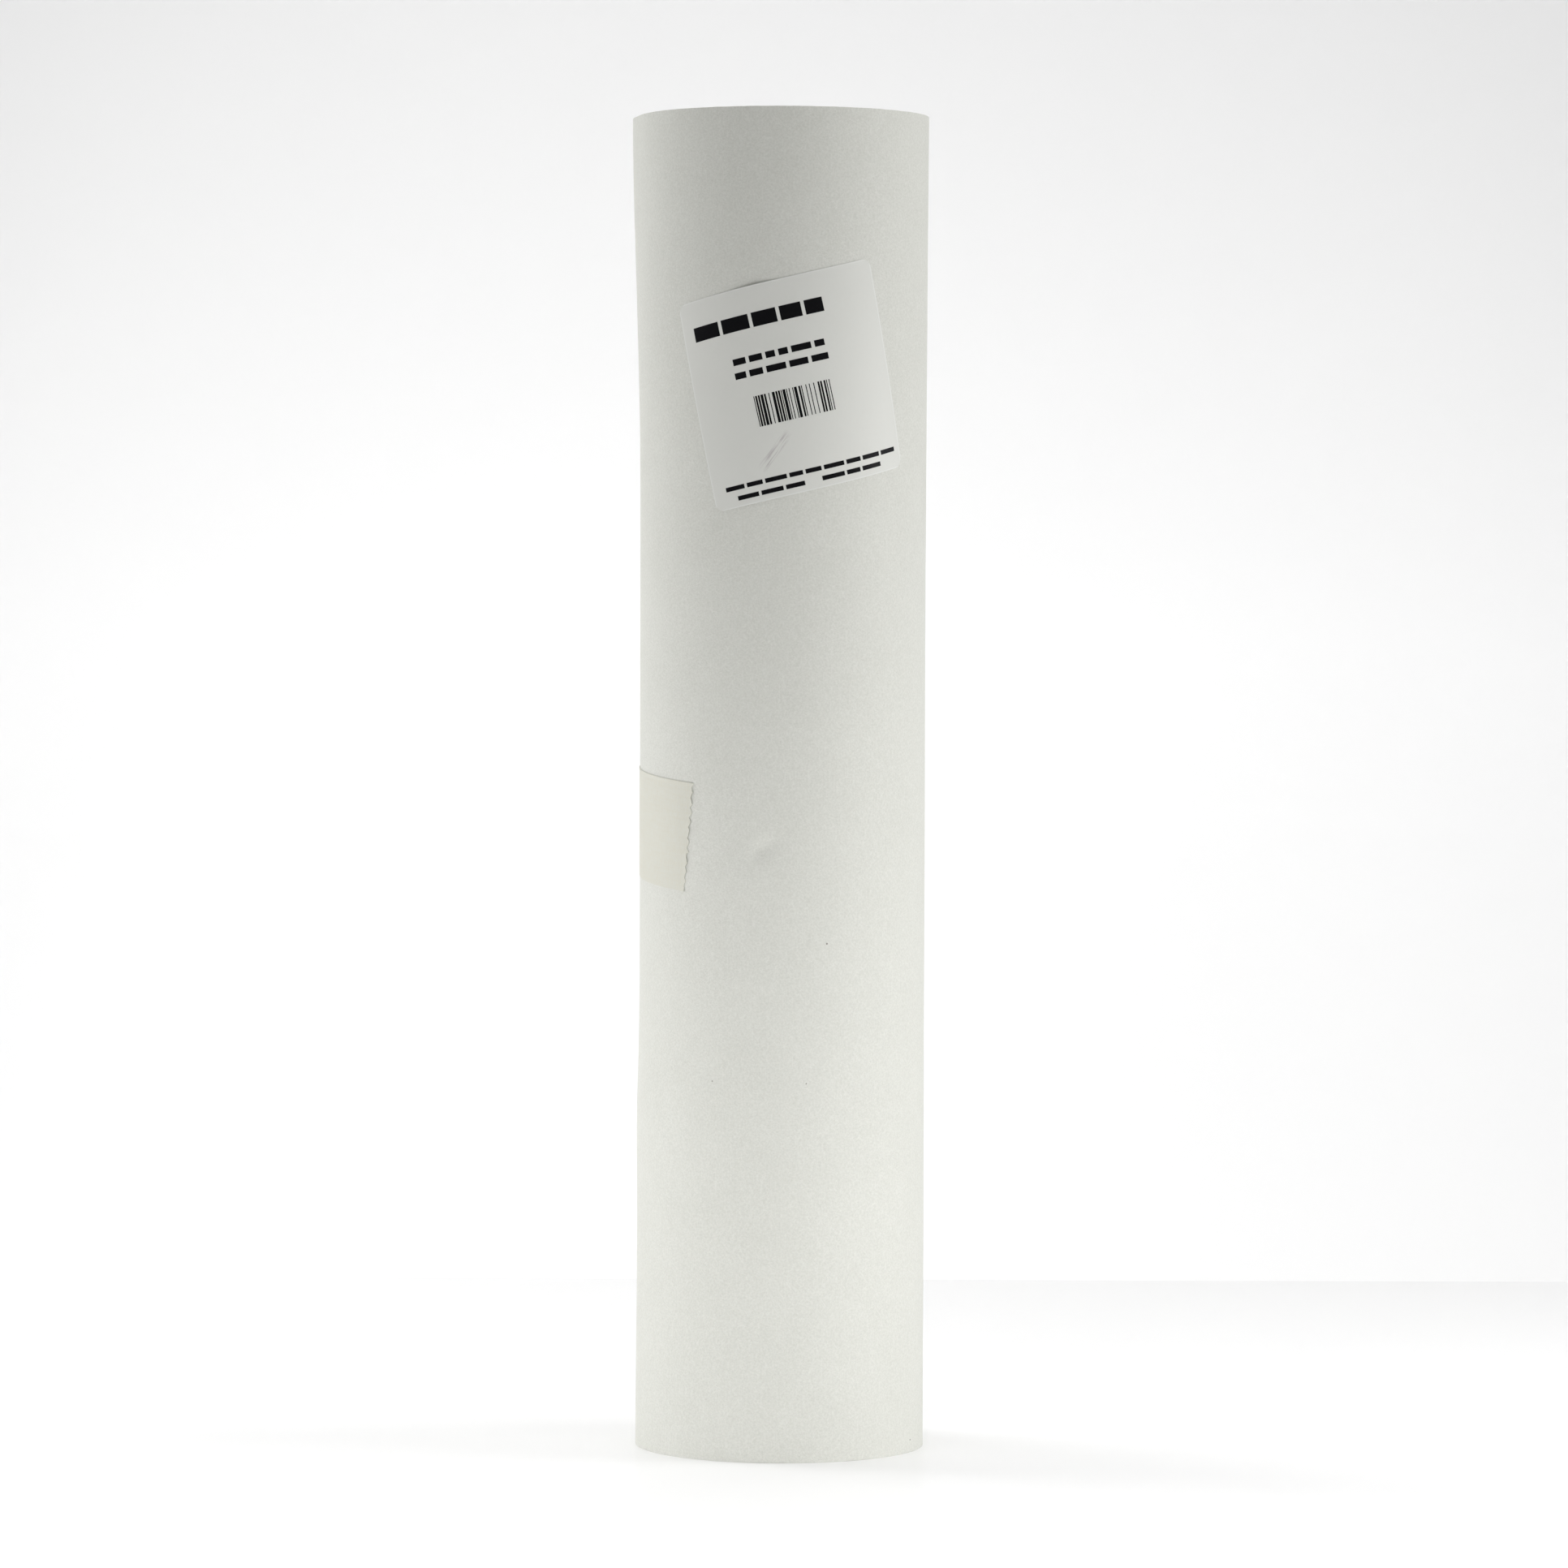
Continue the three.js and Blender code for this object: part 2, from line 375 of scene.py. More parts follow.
def put(tree, kind, inputs=None, **settings):
    """A new shader node of a kind with its settings and inputs."""
    made = tree.nodes.new("ShaderNode" + kind)
    for name, value in settings.items():
        setattr(made, name, value)
    feed(tree, made, inputs or {})
    return made


def calc(tree, operation, first, second=0.0, third=0.0):
    """The result of one arithmetic operation on sockets or numbers."""
    return put(tree, "Math", {0: first, 1: second, 2: third}, operation=operation).outputs[0]


def ramp(tree, value, low, high, to_low=0.0, to_high=1.0):
    """A value taken from one range to another, held at its ends."""
    ranges = {"Value": value, 1: low, 2: high, 3: to_low, 4: to_high}
    return put(tree, "MapRange", ranges, interpolation_type="SMOOTHSTEP").outputs[0]


def noise(tree, vector, scale, detail, **more):
    """A noise texture's value at a place: noise of a scale, an amount of detail and other settings."""
    inputs = {"Vector": vector, "Scale": scale, "Detail": detail, **more}
    return put(tree, "TexNoise", inputs).outputs[0]


def scaled(tree, vector, factors):
    """A vector multiplied by another or by three numbers, part by part."""
    return put(tree, "VectorMath", {0: vector, 1: factors}, operation="MULTIPLY").outputs[0]


def object_place(tree):
    """The place on the object that a material is at."""
    return put(tree, "TexCoord").outputs["Object"]


def sheet_place(tree):
    """The place on the flat sheet that a material is at."""
    return put(tree, "UVMap", uv_map="Sheet").outputs[0]


def clamped(tree, value):
    """A value held between nought and one."""
    return put(tree, "Clamp", {"Value": value}).outputs[0]


def blend_colour(tree, factor, first, second):
    """Two colours mixed by a factor."""
    return put(tree, "Mix", {0: factor, 6: first, 7: second}, data_type="RGBA").outputs[2]


def effect(name, inputs, outputs):
    """An empty shader node group with its named inputs, each a kind and a default, and its outputs. It
    gives the group, its input sockets by name, and the node that takes its results."""
    tree = bpy.data.node_groups.new(name, "ShaderNodeTree")
    for title, (kind, default) in inputs.items():
        socket = tree.interface.new_socket(title, in_out="INPUT", socket_type=kind)
        if default is not None:
            socket.default_value = default
    for title, kind in outputs.items():
        tree.interface.new_socket(title, in_out="OUTPUT", socket_type=kind)
    given = tree.nodes.new("NodeGroupInput")
    return tree, {title: given.outputs[title] for title in inputs}, tree.nodes.new("NodeGroupOutput")


def use(tree, group, **inputs):
    """A group placed in a material, with its inputs set or linked."""
    return put(tree, "Group", inputs, node_tree=group)


VECTOR, FLOAT = "NodeSocketVector", "NodeSocketFloat"
FIBER_WAYS = 5


def grain_effect():
    """Fine mottling: noise at a grain size and, more faintly, at a third of it."""
    wanted = {"Vector": (VECTOR, None), "Size": (FLOAT, 0.001), "Contrast": (FLOAT, 1.0)}
    tree, given, out = effect("Grain", wanted, {"Mask": FLOAT, "Height": FLOAT})
    scale = calc(tree, "DIVIDE", 1.0, given["Size"])
    height = noise(tree, given["Vector"], scale, 2.0, Roughness=0.6)
    centred = calc(tree, "SUBTRACT", height, 0.5)
    spread = calc(tree, "MULTIPLY_ADD", centred, given["Contrast"], 0.5)
    feed(tree, out, {"Mask": clamped(tree, spread), "Height": height})
    return tree


def fiber_effect():
    """Chopped fibers that lie every way: noise drawn out along each of several directions, of which only
    the crests are kept, the highest at each point."""
    wanted = {
        "Vector": (VECTOR, None),
        "Length": (FLOAT, 0.006),
        "Width": (FLOAT, 0.0004),
        "Share": (FLOAT, 0.5),
    }
    tree, given, out = effect("Matted fibers", wanted, {"Mask": FLOAT})
    thin = calc(tree, "DIVIDE", 1.0, given["Width"])
    long = calc(tree, "DIVIDE", 1.0, given["Length"])
    stretch = put(tree, "CombineXYZ", {"X": long, "Y": thin, "Z": thin}).outputs[0]
    low = calc(tree, "MULTIPLY_ADD", given["Share"], -0.25, 0.72)
    high = calc(tree, "ADD", low, 0.1)
    result = None
    for i in range(FIBER_WAYS):
        inputs = {"Vector": given["Vector"], "Angle": i * math.pi / FIBER_WAYS + 0.3}
        turned = put(tree, "VectorRotate", inputs, rotation_type="Z_AXIS").outputs[0]
        inputs = {0: turned, 1: (0.37 * i, 0.11 * i, 0.0)}
        moved = put(tree, "VectorMath", inputs, operation="ADD").outputs[0]
        strand = noise(tree, scaled(tree, moved, stretch), 1.0, 1.0, Distortion=0.6)
        crest = ramp(tree, strand, low, high)
        result = crest if result is None else calc(tree, "MAXIMUM", result, crest)
    feed(tree, out, {"Mask": result})
    return tree


def speck_effect():
    """A small spot: one close to a place, and nought beyond its size."""
    wanted = {"Vector": (VECTOR, None), "Place": (VECTOR, None), "Size": (FLOAT, 0.0005)}
    tree, given, out = effect("Speck", wanted, {"Mask": FLOAT})
    inputs = {0: given["Vector"], 1: given["Place"]}
    away = put(tree, "VectorMath", inputs, operation="DISTANCE").outputs["Value"]
    share = calc(tree, "DIVIDE", away, given["Size"])
    feed(tree, out, {"Mask": ramp(tree, share, 0.6, 1.1, 1.0, 0.0)})
    return tree


def effects():
    """The node groups that the materials share, each made once."""
    makers = {"Grain": grain_effect, "Matted fibers": fiber_effect, "Speck": speck_effect}
    for name, make in makers.items():
        if name not in bpy.data.node_groups:
            make()
    return [bpy.data.node_groups[name] for name in makers]


def new_material(name):
    """An empty material with a Principled shader on its output."""
    material = bpy.data.materials.new(name)
    material.use_nodes = True
    tree = material.node_tree
    tree.nodes.clear()
    shader = put(tree, "BsdfPrincipled")
    put(tree, "OutputMaterial", {0: shader.outputs[0]})
    return material, tree, shader


def bumped(tree, shader, height, strength, distance):
    """A height in the material turned into its normal."""
    bump = put(tree, "Bump", {"Height": height, "Strength": strength, "Distance": distance})
    feed(tree, shader, {"Normal": bump.outputs[0]})


def rgba(values):
    """A linear colour with the alpha that a shader socket takes."""
    return (*values, 1.0)


SPECK_COLOUR = (0.12, 0.1, 0.08, 1.0)
SPECK_STRENGTH = 0.75
# Dark specks in the mat: angle in degrees, height and size in millimetres
SPECKS = (
    (18.2, 230.4, 0.5),
    (-63.3, 302.9, 0.45),
    (64.7, 5.6, 0.45),
    (-28, 169, 0.35),
    (10, 168.5, 0.35),
    (140, 322, 0.5),
    (-150, 120, 0.45),
    (95, 480, 0.4),
    (215, 410, 0.45),
)


def mat_material(name, sheet):
    """Non-woven glass mat: pale, with cloudy density, fine grain, matted fibers and a few dark specks.
    On the sheet its fibers follow the web's own plane, and elsewhere they follow the object."""
    material, tree, shader = new_material(name)
    finish = bpy.context.scene.roll_finishes
    grain, fibers, speck = effects()
    solid = object_place(tree)
    plane = sheet_place(tree) if sheet else solid
    fine = use(tree, grain, Vector=solid, Size=0.0009, Contrast=1.6)
    cloud = use(tree, grain, Vector=solid, Size=0.03, Contrast=1.2)
    strands = use(tree, fibers, Vector=plane, Length=0.007, Width=0.0005, Share=0.5).outputs[0]
    deep = calc(tree, "MULTIPLY_ADD", fine.outputs["Mask"], -0.45, 0.4)
    deep = calc(tree, "MULTIPLY_ADD", cloud.outputs["Mask"], 0.12, deep)
    deep = calc(tree, "MULTIPLY_ADD", strands, -0.1, deep)
    shade = blend_colour(tree, clamped(tree, deep), rgba(finish.mat), rgba(finish.mat_deep))
    if sheet:
        for degrees, height, size in SPECKS:
            angle = np.float64(math.radians(degrees))
            place = on_cylinder(angle, height * MM, outer_turn_radius(angle, height * MM))
            spot = use(tree, speck, Vector=solid, Place=tuple(place), Size=size * MM).outputs[0]
            spot = calc(tree, "MULTIPLY", spot, SPECK_STRENGTH)
            shade = blend_colour(tree, spot, shade, SPECK_COLOUR)
    rough = calc(tree, "MULTIPLY_ADD", strands, -0.12, 0.95)
    feed(tree, shader, {"Base Color": shade, "Roughness": rough, "Specular IOR Level": 0.25})
    feed(tree, shader, {"Sheen Weight": 0.1, "Sheen Roughness": 0.6})
    height = calc(tree, "MULTIPLY_ADD", strands, 0.35, fine.outputs["Height"])
    bumped(tree, shader, height, 0.35, 0.00025)
    return material


SCUFF_TURN = math.radians(-41)
SCUFF_PLACE = (-0.015, -0.0266)


def scuff_mask(tree, plane):
    """Where the label is scuffed: streaks of noise drawn out along one slope, kept within a patch that
    fades out along and across them. The patch's centre is its place in the label's plane after the same
    turn: x times the cosine less y times the sine, and x times the sine plus y times the cosine."""
    turned = put(tree, "Mapping", {"Vector": plane, "Rotation": (0, 0, SCUFF_TURN)}).outputs[0]
    streaks = noise(tree, scaled(tree, turned, (90.0, 1100.0, 1.0)), 1.0, 2.0)
    cos, sin = math.cos(SCUFF_TURN), math.sin(SCUFF_TURN)
    x, y = SCUFF_PLACE
    place = put(tree, "SeparateXYZ", {"Vector": turned}).outputs
    area = []
    for axis, centre, near, far in (
        ("Y", x * sin + y * cos, 0.001, 0.0026),
        ("X", x * cos - y * sin, 0.006, 0.0115),
    ):
        away = calc(tree, "ABSOLUTE", calc(tree, "SUBTRACT", place[axis], centre))
        area.append(ramp(tree, away, near, far, 1.0, 0.0))
    return calc(tree, "MULTIPLY", calc(tree, "MULTIPLY", *area), ramp(tree, streaks, 0.42, 0.62))


def paper_material():
    """Satin label paper: even, faintly mottled, with a painted highlight that makes its rim paler, and with
    two scuffs that cross it low on the left."""
    material, tree, shader = new_material("Label paper")
    finish = bpy.context.scene.roll_finishes
    grain = effects()[0]
    plane = sheet_place(tree)
    fine = use(tree, grain, Vector=plane, Size=0.0022, Contrast=1.0)
    scuff = scuff_mask(tree, plane)
    mottle = calc(tree, "MULTIPLY", fine.outputs["Mask"], 0.08)
    shade = blend_colour(tree, mottle, rgba(finish.paper), (0.55, 0.56, 0.55, 1))
    shade = blend_colour(tree, calc(tree, "MULTIPLY", scuff, 0.6), shade, (0.42, 0.38, 0.39, 1))
    half = bpy.context.scene.roll_label.width / 2
    # Painted highlight: the paper's colour is mixed towards a paler one over the last 0.3 to 0.7 mm of its
    # rim.
    folded = put(tree, "VectorMath", {0: plane}, operation="ABSOLUTE").outputs[0]
    sides = put(tree, "SeparateXYZ", {"Vector": folded}).outputs
    edges = [ramp(tree, sides[i], half - 0.0007, half - 0.0003, 0.0, 0.5) for i in range(2)]
    shade = blend_colour(tree, calc(tree, "MAXIMUM", *edges), shade, (0.85, 0.86, 0.84, 1))
    rough = calc(tree, "MULTIPLY_ADD", fine.outputs["Mask"], 0.12, 0.44)
    rough = calc(tree, "MULTIPLY_ADD", scuff, 0.2, rough)
    feed(tree, shader, {"Base Color": shade, "Roughness": rough, "Specular IOR Level": 0.35})
    bumped(tree, shader, fine.outputs["Height"], 0.12, 0.0001)
    return material


def ink_material():
    """Printed ink: near black, broken by faint dots where the print is thin."""
    material, tree, shader = new_material("Label print")
    finish = bpy.context.scene.roll_finishes
    fine = use(tree, effects()[0], Vector=object_place(tree), Size=0.0007, Contrast=1.5)
    thin = calc(tree, "MULTIPLY", ramp(tree, fine.outputs["Mask"], 0.7, 1.0), 0.12)
    shade = blend_colour(tree, thin, rgba(finish.ink), (0.09, 0.085, 0.085, 1))
    rough = calc(tree, "MULTIPLY_ADD", fine.outputs["Mask"], 0.2, 0.35)
    feed(tree, shader, {"Base Color": shade, "Roughness": rough, "Specular IOR Level": 0.12})
    return material


def tape_material():
    """Creped masking tape: fine ridges across its length, paler where it is stretched."""
    material, tree, shader = new_material("Masking tape")
    finish = bpy.context.scene.roll_finishes
    plane = sheet_place(tree)
    creased = scaled(tree, plane, (1400.0, 260.0, 1.0))
    crepe = noise(tree, creased, 1.0, 3.0, Roughness=0.6, Distortion=0.3)
    streak = noise(tree, scaled(tree, plane, (60.0, 900.0, 1.0)), 1.0, 2.0)
    fine = use(tree, effects()[0], Vector=plane, Size=0.0009, Contrast=1.2)
    dark = calc(tree, "MULTIPLY_ADD", ramp(tree, crepe, 0.35, 0.65), -0.2, 0.26)
    dark = calc(tree, "MULTIPLY_ADD", ramp(tree, streak, 0.4, 0.7), 0.12, dark)
    dark = calc(tree, "MULTIPLY_ADD", fine.outputs["Mask"], 0.08, dark)
    shade = blend_colour(tree, dark, rgba(finish.tape), (0.62, 0.58, 0.46, 1))
    rough = calc(tree, "MULTIPLY_ADD", crepe, 0.2, 0.5)
    feed(tree, shader, {"Base Color": shade, "Roughness": rough})
    height = calc(tree, "MULTIPLY_ADD", fine.outputs["Height"], 0.3, crepe)
    bumped(tree, shader, height, 0.5, 0.00018)
    return material


# Thickness of a ply of the tube, and how far the inner ply's joint climbs in one turn, in metres
PLY_THICKNESS, PLY_CLIMB = 0.0006, 0.11


def board_material():
    """Wound cardboard: brown grey with fibers, plies that show as rings on its cut ends, and the butt
    joint of the inner ply, which climbs round the bore."""
    material, tree, shader = new_material("Tube cardboard")
    finish = bpy.context.scene.roll_finishes
    grain, fibers, _ = effects()
    place = object_place(tree)
    split = put(tree, "SeparateXYZ", {"Vector": place})
    fine = use(tree, grain, Vector=place, Size=0.0016, Contrast=1.5)
    flecks = use(tree, fibers, Vector=place, Length=0.004, Width=0.0004, Share=0.35).outputs[0]
    squares = [calc(tree, "MULTIPLY", split.outputs[i], split.outputs[i]) for i in range(2)]
    radius = calc(tree, "SQRT", calc(tree, "ADD", *squares))
    ply = calc(tree, "SINE", calc(tree, "MULTIPLY", radius, FULL_TURN / PLY_THICKNESS))
    around = calc(tree, "ARCTAN2", split.outputs["X"], split.outputs["Y"])
    climb = calc(tree, "MULTIPLY_ADD", split.outputs["Z"], FULL_TURN / PLY_CLIMB, around)
    joint = ramp(tree, calc(tree, "COSINE", climb), 0.9985, 0.9998)
    dark = calc(tree, "MULTIPLY", fine.outputs["Mask"], 0.4)
    dark = calc(tree, "MULTIPLY_ADD", ramp(tree, ply, 0.2, 1.0), 0.25, dark)
    dark = clamped(tree, calc(tree, "MULTIPLY_ADD", joint, 0.7, dark))
    shade = blend_colour(tree, dark, rgba(finish.board), (0.17, 0.11, 0.065, 1))
    shade = blend_colour(tree, calc(tree, "MULTIPLY", flecks, 0.25), shade, (0.5, 0.4, 0.28, 1))
    feed(tree, shader, {"Base Color": shade, "Roughness": 0.85})
    height = calc(tree, "MULTIPLY_ADD", joint, -1.0, fine.outputs["Height"])
    bumped(tree, shader, height, 0.4, 0.0003)
    return material


def stage_material(name, paint):
    """Smooth glossy white board, very slightly mottled, and clear from behind, so that a camera that
    stands behind the backdrop still sees the roll."""
    material, tree, shader = new_material(name)
    broad = use(tree, effects()[0], Vector=object_place(tree), Size=0.6, Contrast=1.0)
    tint = tuple(0.985 * value for value in paint)
    shade = blend_colour(tree, broad.outputs["Mask"], rgba(paint), rgba(tint))
    feed(tree, shader, {"Base Color": shade, "Roughness": 0.14, "IOR": 1.04})
    behind = put(tree, "NewGeometry").outputs["Backfacing"]
    clear = put(tree, "BsdfTransparent").outputs[0]
    mix = put(tree, "MixShader", {0: behind, 1: shader.outputs[0], 2: clear})
    feed(tree, tree.nodes["Material Output"], {0: mix.outputs[0]})
    return material


# Pieces

BODY_COLUMNS = 96
BODY_ROWS = 121
FIRST_RIDGE = 0.15  # from the outer wall in to the first ridge, in pitches of the turns


def spiral_edge(heights, outside, inside):
    """The edges of the turns on one end, from the outside in. Point i of the ridge lies at i steps of
    angle from the tucked end of the outer turn, at a radius that falls by one pitch each full turn, and
    the gap's point lies half a pitch further in. heights gives the two rows their heights."""
    web = bpy.context.scene.roll_web
    end = bpy.context.scene.roll_free_end
    step = np.arange(web.turns * BODY_COLUMNS + 1)
    start = end.seam + FULL_TURN + end.tucked
    angle = start + step * FULL_TURN / BODY_COLUMNS
    pitch = (outside - inside) / (web.turns + 1)
    radius = outside - FIRST_RIDGE * pitch - pitch * step / BODY_COLUMNS
    ridge = on_cylinder(angle, heights(step / BODY_COLUMNS, angle, 0), radius)
    gap = on_cylinder(angle, heights(step / BODY_COLUMNS, angle, 1), radius - pitch / 2)
    return ridge, gap


# Waves by which the turns' edges stray: their rates in periods for each six turns, and their shares
STRAY_RATES = np.array([0.05, 0.13, 0.31, 0.9, 2.1, 4.3])
STRAY_SHARES = np.array([0.9, 0.7, 0.5, 0.45, 0.4, 0.4]) / 3.35


def turn_heights(low, sign):
    """A function that gives how high the turns' edges stand at a turn and an angle: a few slow waves
    from turn to turn that also swing round the roll, and the gaps lower by the relief."""
    web = bpy.context.scene.roll_web
    random = np.random.default_rng(web.seed + (sign > 0))
    swings = random.integers(-2, 3, len(STRAY_RATES))
    phases = random.uniform(0, FULL_TURN, len(STRAY_RATES))

    def heights(turns, angle, gap):
        stray = sum(
            share * np.sin(rate * turns * FULL_TURN / 6 + swing * angle + phase)
            for share, rate, swing, phase in zip(STRAY_SHARES, STRAY_RATES, swings, phases)
        )
        fall = web.unevenness * (1 + stray) * smooth(turns / 3) + gap * web.turn_relief
        return low - sign * fall

    return heights


def wound_body():
    """The wound web beneath its outer turn, as one closed mesh. Each end is a ribbon of quads that winds
    in as ridges and gaps. Rings of points join the ends to a wall outside, which follows the web's face
    at a depth and is hollowed beneath its dents, and to a straight wall in the bore."""
    web = bpy.context.scene.roll_web
    end = bpy.context.scene.roll_free_end
    start = end.seam + FULL_TURN + end.tucked
    angle = start + np.arange(BODY_COLUMNS) * FULL_TURN / BODY_COLUMNS
    heights = np.linspace(web.unevenness, web.width - web.unevenness, BODY_ROWS)[:, None]
    under = BODY_DEPTH * web.thickness
    wall = on_cylinder(angle, heights, web_radius(angle, heights, HOLLOWS) - under)
    bore = on_cylinder(angle, heights[[0, -1]], np.full((2, 1), web.bore_radius))
    parts = [wall.reshape(-1, 3), bore.reshape(-1, 3)]
    wall_index = np.arange(wall.size // 3).reshape(wall.shape[:2])
    bore_index = wall.size // 3 + np.arange(bore.size // 3).reshape(2, BODY_COLUMNS)
    faces = [bands(wall_index[:-1], wall_index[1:]), bands(bore_index[1:], bore_index[:-1])]
    first = wall.size // 3 + bore.size // 3
    for sign, row, low in ((1, -1, web.width), (-1, 0, 0.0)):
        outside = float(np.linalg.norm(wall[row, :, :2], axis=1).min())
        ridge, gap = spiral_edge(turn_heights(low, sign), outside, web.bore_radius)
        count = len(ridge)
        top = first + np.arange(count)
        deep = top + count
        first += 2 * count
        parts += [ridge, gap]
        rim, hole = wall_index[row], bore_index[row]
        first_turn = top[: BODY_COLUMNS + 1]
        last_gap = deep[-1 - BODY_COLUMNS :]
        next_top, this_gap = top[BODY_COLUMNS:], deep[: count - BODY_COLUMNS]
        corners = [
            (deep[:-1], top[:-1], top[1:], deep[1:]),
            (next_top[:-1], this_gap[:-1], this_gap[1:], next_top[1:]),
            (first_turn[:-1], rim, np.roll(rim, -1), first_turn[1:]),
            (hole, last_gap[:-1], last_gap[1:], np.roll(hole, -1)),
            (rim[:1], top[:1], deep[:1], next_top[:1]),
            (last_gap[:1], top[-1:], deep[-1:], hole[:1]),
        ]
        made = [np.stack(four, -1) for four in corners]
        faces += [f if sign > 0 else f[:, ::-1] for f in made]
    return np.concatenate(parts), np.concatenate([f.reshape(-1, 4) for f in faces])


OUTER_COLUMNS, OUTER_ROWS = 221, 211


def outer_turn():
    """The outer turn of the web with its free end, as a thin closed sheet: its face lies at the outer
    turn's radius and its back one thickness further in. Its free edge and its two long edges waver a
    little, as cut mat does. Also gives each point's place on the flat web."""
    web = bpy.context.scene.roll_web
    end = bpy.context.scene.roll_free_end
    share = np.linspace(0, 1, OUTER_COLUMNS)
    rise = np.linspace(0, 1, OUTER_ROWS)[:, None]
    stray = wavering(rise, seed=21, waves=24, amplitude=0.006, finest=260)
    angle = end.seam + share * (FULL_TURN + end.tucked) + stray * (1 - smooth(share / 0.02))
    ragged = wavering(angle, seed=8, waves=30, amplitude=0.35 * MM, finest=170)
    trimmed = (rise == 0) * np.abs(ragged[::-1, ::-1]) - (rise == 1) * np.abs(ragged)
    height = rise * web.width + trimmed
    radius = outer_turn_radius(angle, height)
    points, faces = slab(
        on_cylinder(angle, height, radius), on_cylinder(angle, height, radius - web.thickness)
    )
    flat = np.stack([angle * web.foot_radius, height], -1).reshape(-1, 2)
    return points, faces, np.concatenate([flat, flat + (0, 1)])


def core_tube():
    """The cardboard tube: a closed section, straight but for slightly crushed rims, turned round the
    axis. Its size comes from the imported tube."""
    wall, crush = 3 * MM, 0.3 * MM
    outside, inside = TUBE_HIGH.x, TUBE_HIGH.x - wall
    low, high = TUBE_LOW.z, TUBE_HIGH.z
    rows = np.linspace(low + wall, high - wall, 40)
    outer = [(outside, z) for z in rows]
    top = [(outside, high - crush), (outside - crush, high), (inside + crush, high), (inside, high - crush)]
    inner = [(inside, z) for z in rows[::-1]]
    foot = [(inside, low + crush), (inside + crush, low), (outside - crush, low), (outside, low + crush)]
    section = np.array(outer + top + inner + foot)
    angle = np.linspace(0, FULL_TURN, 120, endpoint=False)
    soft = 1 + 0.0012 * np.sin(3 * angle + 0.7)
    points = on_cylinder(angle, section[:, 1:], section[:, :1] * soft)
    index = np.arange(points.size // 3).reshape(points.shape[:2])
    return points.reshape(-1, 3), bands(index, np.roll(index, -1, 0)).reshape(-1, 4)


PUCKER_LIFT = 0.1 * MM
GLUE_GAP = 0.02 * MM  # between the mat and the paper stuck to it


def label_surface(u, v):
    """Angle, height and radius of the mat beneath a place in the label's plane, and how far the paper
    has risen off it there. The plane is turned by the tilt and wrapped round the roll. The paper bridges
    the mat's dents, curls up along its rim, most at the lower left corner, and puckers at one place on
    its upper edge."""
    web = bpy.context.scene.roll_web
    label = bpy.context.scene.roll_label
    cos, sin = math.cos(label.tilt), math.sin(label.tilt)
    angle = label.angle + (u * cos - v * sin) / web.foot_radius
    height = label.centre + u * sin + v * cos
    edge = np.minimum(label.width / 2 - np.abs(u), label.height / 2 - np.abs(v))
    curl = label.edge_lift * (1 - smooth(edge / 0.007))
    corner = hump(np.hypot(u + label.width / 2, v + label.height / 2) / 0.02)
    pucker = hump((u + 0.013) / 0.011) * hump((label.height / 2 - v) / 0.006)
    rise = curl * (0.5 + corner) + PUCKER_LIFT * pucker
    return angle, height, outer_turn_radius(angle, height, ()), rise


def on_label(u, v, offset):
    """Points at a place in the label's plane and a distance above the underside of its paper."""
    angle, height, radius, rise = label_surface(u, v)
    return on_cylinder(angle, height, radius + rise + offset)


def paper_label():
    """The label as a thin closed sheet. Its columns shorten round the corners: the half height at a
    column is what is left of a quarter circle there."""
    label = bpy.context.scene.roll_label
    straight = label.width / 2 - label.corner
    quarter = np.linspace(0, math.pi / 2, 9)
    side = straight + label.corner * np.sin(quarter)
    middle = np.linspace(-straight, straight, 60)[1:-1]
    across = np.concatenate([-side[::-1], middle, side])
    past = np.clip(np.abs(across) - straight, 0, label.corner)
    half = label.height / 2 - label.corner + np.sqrt(label.corner**2 - past**2)
    v = np.linspace(-1, 1, 65)[:, None] * half
    u = np.broadcast_to(across, v.shape)
    points, faces = slab(on_label(u, v, GLUE_GAP + label.thickness), on_label(u, v, GLUE_GAP))
    flat = np.stack([u, v], -1).reshape(-1, 2)
    return points, faces, np.concatenate([flat, flat])


STRIPE_WIDTHS = (0.4, 0.8, 1.2, 1.6)
STRIPE_SHARES = (0.5, 0.25, 0.15, 0.1)


def print_bars():
    """The bars printed on the label, in millimetres in its plane, as left, right, low and high. A heavy
    row of blocks heads it. Two rows of lighter blocks, a field of upright stripes of random width and
    two rows of small blocks follow."""
    label = bpy.context.scene.roll_label
    random = np.random.default_rng(label.seed)
    bars = []

    def row(left, right, low, high, shortest, longest, space):
        """Blocks of random length from left to right, with a space between them."""
        at = left
        while at < right - shortest:
            wide = min(random.uniform(shortest, longest), right - at)
            bars.append((at, at + wide, low, high))
            at += wide + space

    row(-40.8, 27.4, 28.8, 35.2, 8, 14, 1.6)
    row(-24.7, 17.3, 14.1, 17.0, 4, 9, 1.6)
    row(-25.1, 17.8, 7.9, 10.8, 4, 9, 1.6)
    at = -19.0
    while at < 15.5:
        stripe, gap = random.choice(STRIPE_WIDTHS, 2, p=STRIPE_SHARES)
        bars.append((at, at + stripe, -14.7, -1.0))
        at += stripe + gap
    row(-40.6, 46.4, -39.4, -37.4, 5, 11, 1.2)
    row(-35.8, -3.4, -44.2, -42.2, 5, 10, 1.2)
    row(3.0, 33.8, -44.0, -42.0, 6, 12, 1.2)
    return bars


